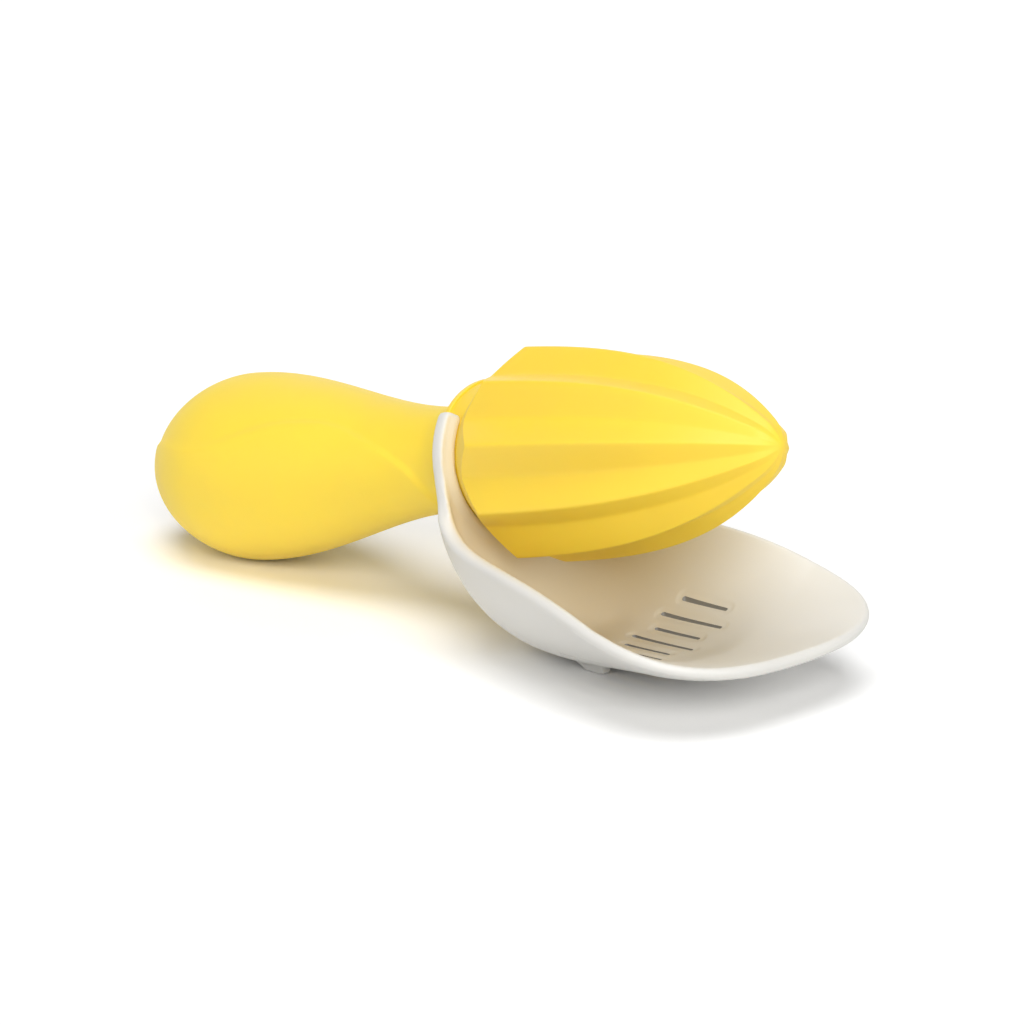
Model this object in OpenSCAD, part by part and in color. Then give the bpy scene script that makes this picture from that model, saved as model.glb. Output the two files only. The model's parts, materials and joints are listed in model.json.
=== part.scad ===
// Hand citrus reamer: a bulb handle with a soft skin, a ten-ridge reaming head and a
// slotted juice strainer that clips round the neck and turns about the reamer's axis.
// Sizes in millimetres. +X runs along the tool towards the head, +Z is up, the table is z = 0.
// In the modules the axis frame is used: z runs from the butt to the tip, x points down
// towards the table side and y points across.

/* [Handle] */
// Largest radius of the bulb
bulb_r = 20.45; // [17:0.05:24]
// Distance of the widest place from the butt
bulb_at = 29.5; // [24:0.1:36]
// Radius of the slim neck
neck_r = 10.85; // [9.5:0.05:12.5]
// Distance from the butt where the neck becomes straight
neck_at = 93; // [86:0.1:97]
// Roundness of the butt
butt_round = 0.573; // [0.45:0.001:0.7]
// Length of the curve that carries the bulb back to the butt
butt_reach = 0.432; // [0.3:0.001:0.6]
// Length of the curve that carries the bulb on to the neck
neck_reach = 0.342; // [0.25:0.001:0.45]
// Thickness of the soft skin
skin_t = 2.2; // [1.6:0.1:2.8]
// Wall of the hollow core under the skin
core_wall = 2.4; // [1.8:0.1:2.8]

/* [Neck spindle] */
// Radius of the flange that closes the end of the handle
flange_r = 15.4; // [15.3:0.05:15.9]
// Distance of the flange's handle side from the butt
flange_at = 102.4; // [100:0.1:104]
// Thickness of the flange
flange_t = 1.2; // [0.8:0.1:2]
// Length of the shank held in the handle
shank_len = 38; // [26:0.5:50]
// Depth of the locking grooves in the shank
groove_depth = 1.4; // [0.8:0.1:2]
// Width of each locking groove
groove_w = 4; // [2.5:0.1:5]
// Radius of the plug that closes the hollow head
spigot_r = 12.4; // [11:0.1:12.8]
// Length of the plug
spigot_len = 8; // [5:0.1:10]

/* [Reaming head] */
// Radius of the round seat for the strainer's clip
journal_r = 14.95; // [14.6:0.01:15.05]
// Length of the seat
journal_len = 4.2; // [4:0.1:5]
// Length of the cone behind the ridges
back_cone_len = 10.2; // [8:0.1:13]
// Radius over the ridges at their back corners
ridge_r = 21.75; // [20:0.05:23]
// Length from the ridges' back corners to the tip
head_len = 62.2; // [55:0.1:72]
// Number of ridges
ridges = 10; // [6:1:14]
// Turn of the first ridge from straight down
ridge_phase = 4; // [0:0.5:36]
// Valley radius as a share of the ridge radius
valley_share = 0.816; // [0.74:0.002:0.9]
// Width of the blunt crest on each ridge
crest_w = 0.7; // [0.4:0.05:1.2]
// Radius of the blunt tip
tip_r = 0.95; // [0.6:0.05:2]
// Wall left between the hollow and the valleys
head_wall = 2.8; // [2:0.1:4]

/* [Strainer clip] */
// Running clearance between clip and seat
clip_gap = 0.08; // [0.04:0.01:0.1]
// Radial thickness of the clip
clip_t = 3.1; // [2.6:0.1:3.6]
// Side clearance of the clip towards the head
clip_side_gap = 0.15; // [0.1:0.05:0.3]
// Side clearance of the clip towards the flange
clip_back_gap = 0.4; // [0.1:0.05:0.6]
// Half angle of the clip's opening at the top
clip_open = 51; // [40:1:60]

/* [Strainer scoop] */
// Wall of the scoop where it leaves the clip
scoop_wall = 3.1; // [2.4:0.1:3.4]
// Wall of the scoop at the front lip
lip_wall = 2.2; // [1.8:0.1:2.8]
// Half width of the scoop at its widest
scoop_half_w = 31.3; // [29:0.1:35]
// Distance from the clip's front to the widest place
scoop_wide_at = 47.5; // [42:0.5:54]
// Distance from the widest place to the front lip
lip_reach = 21.5; // [17:0.5:26]
// Depth of the floor below the axis
floor_drop = 38.9; // [37:0.1:40.5]
// Rise of the floor at the lip
lip_rise = 1.2; // [0:0.1:3]
// Depth of the rim below the axis at the widest place
rim_drop = 26.6; // [24:0.1:30]
// Squareness of the lip's corners
corner_power = 2.8; // [2:0.1:4]

/* [Juice slots] */
// Slots in each half of the row beside the middle one
slots_each_side = 4; // [2:1:5]
// Distance between slots
slot_pitch = 4.3; // [3.6:0.1:5]
// Width of a slot
slot_w = 1.7; // [1.2:0.1:2.2]
// Length of the short slots
short_slot = 11.5; // [8:0.5:20]
// Length of the long slots
long_slot = 15.5; // [10:0.5:24]
// Distance of the slots' middle from the clip's front
slots_at = 30; // [27:0.1:36]

/* [Feet] */
// Distance of each foot rib from the middle
foot_y = 5.6; // [4.5:0.1:8]
// Thickness of a foot rib
foot_t = 1.6; // [1.2:0.1:2.2]
// Start of the foot pads ahead of the clip's front
foot_at = 19; // [16:0.5:24]
// Length of a foot pad
foot_len = 4.5; // [3:0.1:7]

/* [Pose] */
// Slope of the reamer's axis when it lies on the table
tilt = 11.52; // [10.8:0.01:12.4]

/* [Hidden] */
$fn = 96;
curve_n = 22;
row_n = 16;
row_front_n = 9;
across_n = 16;
station_n = 20;
eps = 0.01;

function bez(a, b, c, d, t) =
    pow(1 - t, 3) * a + 3 * pow(1 - t, 2) * t * b + 3 * (1 - t) * t * t * c + pow(t, 3) * d;
function bez_slope(a, b, c, d, t) =
    pow(1 - t, 2) * (b - a) + 2 * (1 - t) * t * (c - b) + t * t * (d - c);
function unit(v) = v / norm(v);

// Handle outline as [radius, distance from the butt], moved inwards by depth
butt_a = [0, 0];
butt_b = [butt_round * bulb_r, 0];
butt_c = [bulb_r, bulb_at * (1 - butt_reach)];
bulb_p = [bulb_r, bulb_at];
taper = neck_at - bulb_at;
waist_b = [bulb_r, bulb_at + neck_reach * taper];
waist_c = [neck_r, neck_at - neck_reach * taper];
neck_p = [neck_r, neck_at];
function inward(p, s, depth) = p + depth * unit([-s[1], s[0]]);
function butt_pt(t, depth) = inward(bez(butt_a, butt_b, butt_c, bulb_p, t),
                                    bez_slope(butt_a, butt_b, butt_c, bulb_p, t), depth);
function waist_pt(t, depth) = inward(bez(bulb_p, waist_b, waist_c, neck_p, t),
                                     bez_slope(bulb_p, waist_b, waist_c, neck_p, t), depth);
function handle_line(depth) = concat(
    [[0, depth]],
    [for (i = [1 : curve_n]) butt_pt(i / curve_n, depth)],
    [for (i = [1 : curve_n]) waist_pt(i / curve_n, depth)],
    [[neck_r - depth, flange_at]]);
function reversed(list) = [for (i = [len(list) - 1 : -1 : 0]) list[i]];

// Seats along the axis
seat_back = flange_at + flange_t;
seat_front = seat_back + journal_len;
ridge_at = seat_front + back_cone_len;
tip_at = ridge_at + head_len;
shank_r = neck_r - skin_t - core_wall;
shank_back = flange_at - shank_len;
clip_r = journal_r + clip_gap;
clip_out = clip_r + clip_t;
clip_back = seat_back + clip_back_gap;
clip_front = seat_front - clip_side_gap;

// How the axis lies over the table
sin_t = sin(tilt);
cos_t = cos(tilt);
axis_rise = -min([for (p = handle_line(0)) p[1] * sin_t - p[0] * cos_t]);
function table_drop(u) = (axis_rise + u * sin_t) / cos_t;

// Ridge line of the head as [radius, distance past the back corners]
ridge_a = [ridge_r, 0];
ridge_b = [0.957 * ridge_r, 0.422 * head_len];
ridge_c = [0.797 * ridge_r, 0.728 * head_len];
ridge_d = [tip_r, head_len];
function ridge_pt(t) = bez(ridge_a, ridge_b, ridge_c, ridge_d, t);
function hollow_r(t) = min(spigot_r, valley_share * ridge_pt(t)[0] - head_wall);

// Rails of the scoop as [distance along the axis, half width, drop]
wide_at = clip_front + scoop_wide_at;
rail_r = clip_out - 1.2;
scoop_at = clip_front - 0.06;
rim_start = 3;
rim_a = [scoop_at, sqrt(rail_r * rail_r - rim_start * rim_start), rim_start];
rim_b = [scoop_at, 0.51 * scoop_half_w, rim_drop + 0.3];
rim_c = [wide_at - 31, scoop_half_w - 3.2, rim_drop - 15];
rim_d = [wide_at, scoop_half_w, rim_drop];
floor_a = [scoop_at, 0, rail_r];
floor_b = [scoop_at, 0, floor_drop - 1.6];
floor_c = [clip_front + 17.5, 0, floor_drop - 0.4];
floor_d = [wide_at, 0, floor_drop];
lip_drop = floor_drop - lip_rise;
corner_last = 86;
function corner_u(q) = lip_reach * pow(sin(corner_last * q), 2 / corner_power);
function corner_y(q) = scoop_half_w * pow(cos(corner_last * q), 2 / corner_power);
function rim_rail(t) = t <= 1 ? bez(rim_a, rim_b, rim_c, rim_d, t)
    : [wide_at + corner_u(t - 1), corner_y(t - 1),
       rim_drop + (lip_drop - rim_drop) * corner_u(t - 1) / lip_reach];
function floor_rail(t) = t <= 1 ? bez(floor_a, floor_b, floor_c, floor_d, t)
    : [wide_at + corner_u(t - 1), 0, floor_drop - lip_rise * corner_u(t - 1) / lip_reach];

// Inner face of the scoop: a round section hung between the rails, as [drop, across, along]
function sag(t) = max(0.05, floor_rail(t)[2] - rim_rail(t)[2]);
function lean(t) = 2 * atan(sag(t) / rim_rail(t)[1]);
function scoop_pt(t, v) =
    let (rim = rim_rail(t), base = floor_rail(t), a = lean(t), s = sag(t),
         r = (rim[1] * rim[1] + s * s) / (2 * s), up = r * (1 - cos(a * v)))
    [base[2] - up, r * sin(a * v), base[0] + (rim[0] - base[0]) * up / s];
function row_t(i) = i <= row_n ? i / row_n : 1 + pow((i - row_n) / row_front_n, 1.25);
rows = row_n + row_front_n + 1;
cols = across_n + 1;
function col_v(j) = 2 * j / across_n - 1;
function slope_t(t, v) = scoop_pt(min(2, t + 0.004), v) - scoop_pt(max(0, t - 0.004), v);
function slope_v(t, v) = scoop_pt(t, min(1, v + 0.004)) - scoop_pt(t, max(-1, v - 0.004));
function wall_at(t) = scoop_wall + (lip_wall - scoop_wall) * t / 2;
function scoop_out(t, v) = scoop_pt(t, v) + wall_at(t) * unit(cross(slope_v(t, v), slope_t(t, v)));

// Place of the part: middle of its length over the origin
back_x = min([for (p = handle_line(0)) p[1] * cos_t - p[0] * sin_t]);
lip_x = max([for (j = [0 : across_n])
    max(scoop_pt(2, col_v(j)) * [sin_t, 0, cos_t], scoop_out(2, col_v(j)) * [sin_t, 0, cos_t])]);
tip_x = tip_at * cos_t + tip_r * sin_t;
shift_x = -(back_x + max(lip_x, tip_x)) / 2;

module on_axis() {
    translate([shift_x, 0, axis_rise])
        rotate([0, 90 - tilt, 0])
            children();
}

// Ridged envelope of the head, run on straight behind the ridges' back corners
module ridge_star() {
    step = 360 / ridges;
    stations = concat([[ridge_r, seat_back - 1 - ridge_at], [ridge_r, 0.4]],
                      [for (i = [1 : station_n]) ridge_pt(1 - pow(1 - i / station_n, 1.35))]);
    n = len(stations);
    ring = 3 * ridges;
    points = [for (s = stations)
        let (half = min(0.3 * step, atan(crest_w / 2 / s[0])))
        for (k = [0 : ridges - 1])
        for (c = [[-half, 1], [half, 1], [step / 2, valley_share]])
        let (a = ridge_phase + k * step + c[0], r = s[0] * c[1])
        [r * cos(a), r * sin(a), ridge_at + s[1]]];
    sides = [for (i = [0 : n - 2]) for (j = [0 : ring - 1])
        let (a = i * ring + j, b = i * ring + (j + 1) % ring)
        for (f = [[a, a + ring, b + ring], [a, b + ring, b]]) f];
    polyhedron(points = concat(points, [[0, 0, seat_back - 1], [0, 0, tip_at]]),
               faces = concat(sides,
                              [for (j = [0 : ring - 1]) [n * ring, j, (j + 1) % ring]],
                              [for (j = [0 : ring - 1])
                                  [n * ring + 1, (n - 1) * ring + (j + 1) % ring, (n - 1) * ring + j]]));
}

// Hollow moulded head: round seat, cone behind the ridges and the ridged nose
module reamer_head() {
    far = ridge_r + 3;
    grow = back_cone_len * (far - journal_r) / (ridge_r - journal_r);
    hollow = [for (t = [0.15 : 0.1 : 0.76]) [hollow_r(t), ridge_at + ridge_pt(t)[1]]];
    color([1, 0.87, 0.3])
        on_axis()
            intersection() {
                ridge_star();
                rotate_extrude()
                    polygon(concat(
                        [[spigot_r, seat_back], [journal_r, seat_back], [journal_r, seat_front],
                         [far, seat_front + grow], [far, tip_at + 2], [0, tip_at + 2],
                         [0, hollow[len(hollow) - 1][1] + hollow_r(0.75) / 2]],
                        reversed(hollow)));
            }
}

// Turned spindle: shank with locking grooves, closing flange and plug for the hollow head
module neck_spindle() {
    g1 = shank_back + groove_w;
    g2 = g1 + 3 * groove_w;
    core_r = shank_r - groove_depth;
    color([0.95, 0.84, 0.34])
        on_axis()
            rotate_extrude()
                polygon([[0, shank_back], [shank_r, shank_back], [shank_r, g1], [core_r, g1],
                         [core_r, g1 + groove_w], [shank_r, g1 + groove_w], [shank_r, g2],
                         [core_r, g2], [core_r, g2 + groove_w], [shank_r, g2 + groove_w],
                         [shank_r, flange_at], [flange_r, flange_at], [flange_r, seat_back],
                         [spigot_r, seat_back], [spigot_r, seat_back + spigot_len],
                         [0, seat_back + spigot_len]]);
}

// Hollow core under the skin, with ribs that fill the shank's grooves
module core_shell() {
    g1 = shank_back + groove_w;
    g2 = g1 + 3 * groove_w;
    core_r = shank_r - groove_depth;
    outer = handle_line(skin_t);
    inner = [for (p = handle_line(skin_t + core_wall)) if (p[1] < shank_back - 6) p];
    rotate_extrude()
        polygon(concat(outer,
                       [[shank_r, flange_at], [shank_r, g2 + groove_w], [core_r, g2 + groove_w],
                        [core_r, g2], [shank_r, g2], [shank_r, g1 + groove_w],
                        [core_r, g1 + groove_w], [core_r, g1], [shank_r, g1], [shank_r, shank_back]],
                       reversed(inner)));
}

module core_half(side) {
    block = 2 * bulb_r;
    on_axis()
        intersection() {
            core_shell();
            translate([-block, side > 0 ? 0 : -block, 0])
                cube([2 * block, block, flange_at + 1]);
        }
}

module handle_core_left() {
    color([0.93, 0.82, 0.4])
        core_half(1);
}

module handle_core_right() {
    color([0.9, 0.8, 0.38])
        core_half(-1);
}

// Soft skin moulded over the core
module handle_grip() {
    color([0.98, 0.86, 0.34])
        on_axis()
            rotate_extrude()
                polygon(concat(handle_line(0), reversed(handle_line(skin_t))));
}

// Thin walled scoop between the rails
module scoop() {
    ring = cols * rows;
    inner = [for (i = [0 : rows - 1]) for (j = [0 : cols - 1]) scoop_pt(row_t(i), col_v(j))];
    outer = [for (i = [0 : rows - 1]) for (j = [0 : cols - 1]) scoop_out(row_t(i), col_v(j))];
    skins = [for (i = [0 : rows - 2]) for (j = [0 : cols - 2])
        let (a = i * cols + j, b = a + 1, c = a + cols, d = c + 1)
        for (f = [[a, c, d], [a, d, b], [ring + a, ring + d, ring + c], [ring + a, ring + b, ring + d]]) f];
    ends = [for (j = [0 : cols - 2])
        let (a = j, b = j + 1, c = (rows - 1) * cols + j, d = c + 1)
        for (f = [[a, b, ring + b], [a, ring + b, ring + a], [c, ring + d, d], [c, ring + c, ring + d]]) f];
    rims = [for (i = [0 : rows - 2])
        let (a = i * cols, b = a + cols, c = a + cols - 1, d = b + cols - 1)
        for (f = [[a, ring + b, b], [a, ring + a, ring + b], [c, d, ring + d], [c, ring + d, ring + c]]) f];
    polyhedron(points = concat(inner, outer), faces = [for (f = concat(skins, ends, rims)) reversed(f)]);
}

// Ring of the clip with its opening at the top
module clip_ring() {
    reach = 2 * clip_out;
    difference() {
        translate([0, 0, clip_back])
            cylinder(r = clip_out, h = clip_front - clip_back);
        translate([0, 0, clip_back - 1])
            linear_extrude(height = clip_front - clip_back + 2)
                polygon([[0, 0], [-reach * cos(clip_open), reach * sin(clip_open)],
                         [-2 * reach, 0], [-reach * cos(clip_open), -reach * sin(clip_open)]]);
    }
}

// Rib under the floor that ends in a pad on the table
module foot(side) {
    pad_at = clip_front + foot_at;
    pad_end = pad_at + foot_len;
    top = [for (t = [0.22 : 0.06 : 0.62]) floor_rail(t)];
    translate([0, side * foot_y, 0])
        rotate([90, 0, 0])
            linear_extrude(height = foot_t, center = true)
                polygon(concat([for (p = top) [p[2] + 0.5 * scoop_wall, p[0] - 0.2 * scoop_wall]],
                               [[floor_drop + 0.4 * scoop_wall, pad_end],
                                [table_drop(pad_end), pad_end],
                                [table_drop(pad_at), pad_at],
                                [floor_drop + 0.3, pad_at - 1.4],
                                [floor_drop - 3.6, clip_front + 2.5]]));
}

module slot(length) {
    run = length - slot_w;
    translate([floor_drop - 16, 0, 0])
        rotate([0, 90, 0])
            union() {
                translate([-run / 2, 0, 0])
                    cylinder(d = slot_w, h = 24, $fn = 24);
                translate([run / 2, 0, 0])
                    cylinder(d = slot_w, h = 24, $fn = 24);
                translate([-run / 2, -slot_w / 2, 0])
                    cube([run, slot_w, 24]);
            }
}

// Strainer: scoop, clip and feet in one moulding
module strainer() {
    color([0.93, 0.92, 0.89])
        on_axis()
            difference() {
                union() {
                    scoop();
                    clip_ring();
                    foot(1);
                    foot(-1);
                }
                translate([0, 0, clip_back - 2])
                    cylinder(r = clip_r, h = clip_front - clip_back + 4);
                for (k = [-slots_each_side : slots_each_side])
                    translate([0, k * slot_pitch, clip_front + slots_at])
                        slot(abs(k) % 2 == 0 ? short_slot : long_slot);
            }
}

reamer_head();
neck_spindle();
handle_core_left();
handle_core_right();
handle_grip();
strainer();
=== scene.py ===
import bpy
import bmesh
import json
import math
from mathutils import Matrix, Vector
from mathutils.bvhtree import BVHTree


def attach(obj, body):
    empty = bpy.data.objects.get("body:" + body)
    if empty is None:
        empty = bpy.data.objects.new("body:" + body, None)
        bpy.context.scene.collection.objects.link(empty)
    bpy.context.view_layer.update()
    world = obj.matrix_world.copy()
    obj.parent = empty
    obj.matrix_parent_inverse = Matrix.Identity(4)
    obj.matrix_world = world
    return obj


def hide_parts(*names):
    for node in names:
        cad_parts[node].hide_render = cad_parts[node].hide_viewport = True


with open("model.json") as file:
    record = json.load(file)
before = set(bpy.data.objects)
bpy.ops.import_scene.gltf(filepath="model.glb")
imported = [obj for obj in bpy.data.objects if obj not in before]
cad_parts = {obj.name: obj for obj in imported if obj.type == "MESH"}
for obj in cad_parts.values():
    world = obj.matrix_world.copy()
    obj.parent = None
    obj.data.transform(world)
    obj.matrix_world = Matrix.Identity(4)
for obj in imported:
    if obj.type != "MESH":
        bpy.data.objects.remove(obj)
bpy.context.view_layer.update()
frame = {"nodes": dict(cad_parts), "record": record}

# The reamer's own frame, in millimetres: x is the drop from the axis towards the table,
# y runs across and z runs along the axis from the butt to the tip.
MM = 0.001
CLIP_SEAT_AT = 105.6
swivel = frame["record"]["behaviour"]["joints"][0]
axis_dir = Vector(swivel["axis"]).normalized()
butt = Vector(swivel["pos_m"]) - axis_dir * (CLIP_SEAT_AT * MM)
across_dir = Vector((0.0, 1.0, 0.0))
drop_dir = across_dir.cross(axis_dir).normalized()
TO_ROW = Matrix.Translation(butt) @ Matrix((
    (drop_dir.x, across_dir.x, axis_dir.x, 0.0),
    (drop_dir.y, across_dir.y, axis_dir.y, 0.0),
    (drop_dir.z, across_dir.z, axis_dir.z, 0.0),
    (0.0, 0.0, 0.0, 1.0))) @ Matrix.Scale(MM, 4)

# Sizes shared by the pieces
BULB_R, BULB_AT = 20.45, 29.5
NECK_R, NECK_AT = 10.85, 93.0
SKIN_T = 2.2
FLANGE_AT, FLANGE_T, FLANGE_R = 102.4, 1.2, 15.4
SEAT_BACK = FLANGE_AT + FLANGE_T
SEAT_FRONT = SEAT_BACK + 4.2
SEAT_R = 14.95
PLUG_R, PLUG_LEN = 12.4, 8.0
RIDGE_AT = SEAT_FRONT + 10.2
RIDGE_R, HEAD_LEN, TIP_R = 21.75, 62.2, 0.95
RIDGES, RIDGE_PHASE, VALLEY_SHARE = 10, 4.0, 0.816


def bezier(a, b, c, d, t):
    s = 1.0 - t
    return [s ** 3 * p + 3 * s * s * t * q + 3 * s * t * t * r + t ** 3 * e
            for p, q, r, e in zip(a, b, c, d)]


def bezier_slope(a, b, c, d, t):
    s = 1.0 - t
    return [s * s * (q - p) + 2 * s * t * (r - q) + t * t * (e - r)
            for p, q, r, e in zip(a, b, c, d)]


def smooth(x):
    x = min(1.0, max(0.0, x))
    return x * x * (3.0 - 2.0 * x)


def along(knots, x):
    """Smooth value through (place, value) knots, level past the ends."""
    if x <= knots[0][0]:
        return knots[0][1]
    for i in range(len(knots) - 1):
        (x0, y0), (x1, y1) = knots[i], knots[i + 1]
        if x <= x1:
            def slope(j):
                (xa, ya), (xb, yb) = knots[max(j - 1, 0)], knots[min(j + 1, len(knots) - 1)]
                return (yb - ya) / (xb - xa)

            h = x1 - x0
            t = (x - x0) / h
            m0, m1 = slope(i) * h, slope(i + 1) * h
            return ((2 * t ** 3 - 3 * t * t + 1) * y0 + (t ** 3 - 2 * t * t + t) * m0
                    + (-2 * t ** 3 + 3 * t * t) * y1 + (t ** 3 - t * t) * m1)
    return knots[-1][1]


def keep_piece(mesh, name, body, nodes, material, sharp):
    """Puts a mesh made in the reamer's frame on its CAD body in place of its CAD nodes.

    Edges that bend by more than sharp degrees stay crisp.
    """
    mesh.transform(TO_ROW)
    bm = bmesh.new()
    bm.from_mesh(mesh)
    bmesh.ops.recalc_face_normals(bm, faces=bm.faces)
    bm.to_mesh(mesh)
    bm.free()
    mesh.name = name
    for face in mesh.polygons:
        face.use_smooth = True
    mesh.set_sharp_from_angle(angle=math.radians(sharp))
    mesh.materials.clear()
    mesh.materials.append(material)
    piece = bpy.data.objects.new(name, mesh)
    bpy.context.scene.collection.objects.link(piece)
    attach(piece, body)
    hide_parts(*nodes)
    return piece


def lathe(profile, sides, lift=None):
    """Closed turned mesh from (radius, along) points that start and end on the axis.

    lift(number, radius, along, angle) may move each point of a ring.
    """
    points, faces, rings = [], [], []
    for k, (r, u) in enumerate(profile):
        if r < 1e-6:
            rings.append([len(points)])
            points.append((0.0, 0.0, u))
            continue
        ring = []
        for i in range(sides):
            a = 2.0 * math.pi * i / sides
            rr, uu = (r, u) if lift is None else lift(k, r, u, a)
            ring.append(len(points))
            points.append((rr * math.cos(a), rr * math.sin(a), uu))
        rings.append(ring)
    for low, high in zip(rings, rings[1:]):
        if len(low) == 1:
            faces += [(low[0], high[(i + 1) % sides], high[i]) for i in range(sides)]
        elif len(high) == 1:
            faces += [(low[i], low[(i + 1) % sides], high[0]) for i in range(sides)]
        else:
            faces += [(low[i], low[(i + 1) % sides], high[(i + 1) % sides], high[i]) for i in range(sides)]
    mesh = bpy.data.meshes.new("turned")
    mesh.from_pydata(points, [], faces)
    return mesh


# Materials, with their patterns in metres

MOTTLE_SCALE, MOTTLE_LOW, MOTTLE_HIGH = 60.0, 0.3, 0.7
GLOSS_SPREAD = 0.05
GRAIN_HEIGHT = 0.00004
GLOW_DEPTH = 0.0015


def plastic(name, colour, roughness, grain, grain_depth, mottle, glow_in, glow_reach,
            gloss_level=0.5, sheen=0.0):
    """Moulded plastic: faint mottling in the colour, a fine grain and uneven gloss."""
    mat = bpy.data.materials.new(name)
    mat.use_nodes = True
    nodes, links = mat.node_tree.nodes, mat.node_tree.links
    shader = nodes["Principled BSDF"]
    place = nodes.new("ShaderNodeTexCoord")
    cloud = nodes.new("ShaderNodeTexNoise")
    cloud.inputs["Scale"].default_value = MOTTLE_SCALE
    cloud.inputs["Detail"].default_value = 4.0
    links.new(place.outputs["Object"], cloud.inputs["Vector"])
    tint = nodes.new("ShaderNodeValToRGB")
    dark, light = tint.color_ramp.elements
    dark.position, light.position = MOTTLE_LOW, MOTTLE_HIGH
    dark.color = tuple(c * (1.0 - mottle) for c in colour) + (1.0,)
    light.color = tuple(min(1.0, c * (1.0 + 0.4 * mottle)) for c in colour) + (1.0,)
    links.new(cloud.outputs["Fac"], tint.inputs["Fac"])
    links.new(tint.outputs["Color"], shader.inputs["Base Color"])
    fine = nodes.new("ShaderNodeTexNoise")
    fine.inputs["Scale"].default_value = grain
    fine.inputs["Detail"].default_value = 3.0
    links.new(place.outputs["Object"], fine.inputs["Vector"])
    gloss = nodes.new("ShaderNodeMapRange")
    gloss.inputs["From Min"].default_value = MOTTLE_LOW
    gloss.inputs["From Max"].default_value = MOTTLE_HIGH
    gloss.inputs["To Min"].default_value = roughness - GLOSS_SPREAD
    gloss.inputs["To Max"].default_value = roughness + GLOSS_SPREAD
    links.new(cloud.outputs["Fac"], gloss.inputs["Value"])
    links.new(gloss.outputs["Result"], shader.inputs["Roughness"])
    bump = nodes.new("ShaderNodeBump")
    bump.inputs["Strength"].default_value = grain_depth
    bump.inputs["Distance"].default_value = GRAIN_HEIGHT
    links.new(fine.outputs["Fac"], bump.inputs["Height"])
    links.new(bump.outputs["Normal"], shader.inputs["Normal"])
    shader.inputs["Specular IOR Level"].default_value = gloss_level
    shader.inputs["Subsurface Weight"].default_value = glow_in
    shader.inputs["Subsurface Radius"].default_value = glow_reach
    shader.inputs["Subsurface Scale"].default_value = GLOW_DEPTH
    if sheen:
        shader.inputs["Sheen Weight"].default_value = sheen
        shader.inputs["Sheen Roughness"].default_value = 0.5
    return mat


def shade_marked(mat, attribute, shade):
    """Gives a plastic another colour where a mesh attribute marks it; here it carries painted shade and painted
    bounce light.
    """
    nodes, links = mat.node_tree.nodes, mat.node_tree.links
    shader = nodes["Principled BSDF"]
    plain = shader.inputs["Base Color"].links[0].from_socket
    mark = nodes.new("ShaderNodeAttribute")
    mark.attribute_name = attribute
    mix = nodes.new("ShaderNodeMix")
    mix.data_type = "RGBA"
    links.new(mark.outputs["Fac"], mix.inputs[0])
    links.new(plain, mix.inputs[6])
    mix.inputs[7].default_value = shade + (1.0,)
    links.new(mix.outputs[2], shader.inputs["Base Color"])


LEMON_SKIN = (0.95, 0.685, 0.035)
LEMON_NYLON = (0.96, 0.66, 0.034)
CORE_AMBER = (0.86, 0.57, 0.075)
OFF_WHITE = (0.725, 0.712, 0.672)
# Painted bounce light: tan for the scoop's inside, standing in for yellow light off the head and its shade
BOUNCE_TAN_PAINT = (0.76, 0.675, 0.5)
# Painted shade: dark grey inside the slots, where little light reaches
SLOT_PAINTED_SHADE = (0.25, 0.245, 0.235)
soft_skin = plastic(
    "lemon_soft_skin", LEMON_SKIN, roughness=0.62, grain=4200.0, grain_depth=0.22, mottle=0.03,
    glow_in=0.2, glow_reach=(1.0, 0.6, 0.1), gloss_level=0.7, sheen=0.10)
ridge_nylon = plastic(
    "lemon_ridge_nylon", LEMON_NYLON, roughness=0.54, grain=2600.0, grain_depth=0.10, mottle=0.025,
    glow_in=0.2, glow_reach=(1.0, 0.62, 0.06), gloss_level=0.75)
spindle_nylon = plastic(
    "lemon_spindle_nylon", LEMON_NYLON, roughness=0.46, grain=2600.0, grain_depth=0.10, mottle=0.025,
    glow_in=0.12, glow_reach=(1.0, 0.5, 0.05), gloss_level=0.75)
core_plastic = plastic(
    "hidden_core_plastic", CORE_AMBER, roughness=0.55, grain=2600.0, grain_depth=0.12, mottle=0.05,
    glow_in=0.0, glow_reach=(1.0, 0.5, 0.1))
strainer_white = plastic(
    "strainer_off_white", OFF_WHITE, roughness=0.40, grain=3000.0, grain_depth=0.10, mottle=0.02,
    glow_in=0.10, glow_reach=(1.0, 0.9, 0.75))
# Painted bounce light on the scoop's inside and painted shade in the slots
shade_marked(strainer_white, "painted_bounce_tint", BOUNCE_TAN_PAINT)
shade_marked(strainer_white, "slot_painted_shade", SLOT_PAINTED_SHADE)


# Handle skin with a leaf shaped panel on each side

BUTT_ROUND, BUTT_REACH, NECK_REACH = 0.573, 0.432, 0.342
TAPER = NECK_AT - BULB_AT
BUTT_CURVE = ((0.0, 0.0), (BUTT_ROUND * BULB_R, 0.0),
              (BULB_R, BULB_AT * (1 - BUTT_REACH)), (BULB_R, BULB_AT))
WAIST_CURVE = ((BULB_R, BULB_AT), (BULB_R, BULB_AT + NECK_REACH * TAPER),
               (NECK_R, NECK_AT - NECK_REACH * TAPER), (NECK_R, NECK_AT))
# Panel edge: distance from the butt and angle up from the bottom
PANEL_EDGE = ((0, 125), (16, 117.6), (23, 112.5), (30, 110.8), (36.4, 112.3), (42, 116.7), (47, 121.8),
              (52, 126.9), (57, 129.9), (62, 131.7), (66, 131.6), (70, 128.7), (74, 122.7), (79, 113.6),
              (84, 101), (88, 87.5), (90.5, 70), (92, 45), (93, 0))
PANEL_LIFT, PANEL_STEP = 0.55, 1.7
# The step fades out over this length at the butt and before the flange
PANEL_FADE, PANEL_END = 6.0, 98.0
# Handle radius at which the panel edge's angles are turned into distances
PANEL_ARC_R = 15.0
SKIN_INSET = 0.03


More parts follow.
